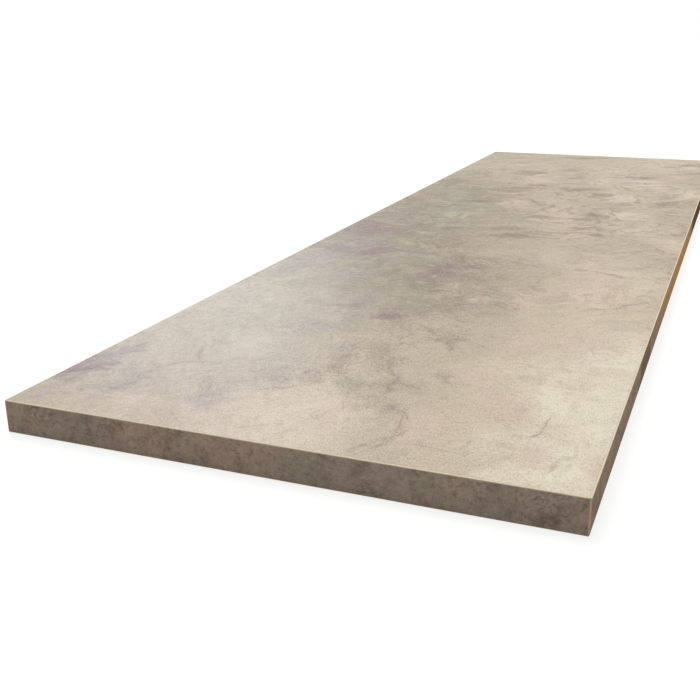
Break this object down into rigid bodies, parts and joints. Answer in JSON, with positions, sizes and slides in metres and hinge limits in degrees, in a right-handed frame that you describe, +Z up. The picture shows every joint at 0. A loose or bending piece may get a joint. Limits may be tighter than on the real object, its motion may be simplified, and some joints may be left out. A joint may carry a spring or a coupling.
{
  "type": "laminate worktop",
  "caption": "Straight square-edged worktop: stone-look laminate on a chipboard core, with slim edging all round and softly rounded arrises.",
  "frame": {"origin": "middle of the underside, on the surface that the worktop lies on", "axes": "+X along the length, from the left end to the right end; -Y out of the front edge and +Y out of the rear edge; +Z up, out of the decorative face"},
  "size_m": [2.2, 0.635, 0.038],
  "materials": {
    "stone_decor": "satin",
    "edging_decor": "satin",
    "chipboard": "matte",
    "backing_paper": "matte"
  },
  "bodies": {
    "root": {"core_board": "chipboard", "top_laminate": "stone_decor", "backing_sheet": "backing_paper", "front_edging": "edging_decor", "rear_edging": "edging_decor", "left_end_edging": "edging_decor", "right_end_edging": "edging_decor"}
  },
  "joints": []
}
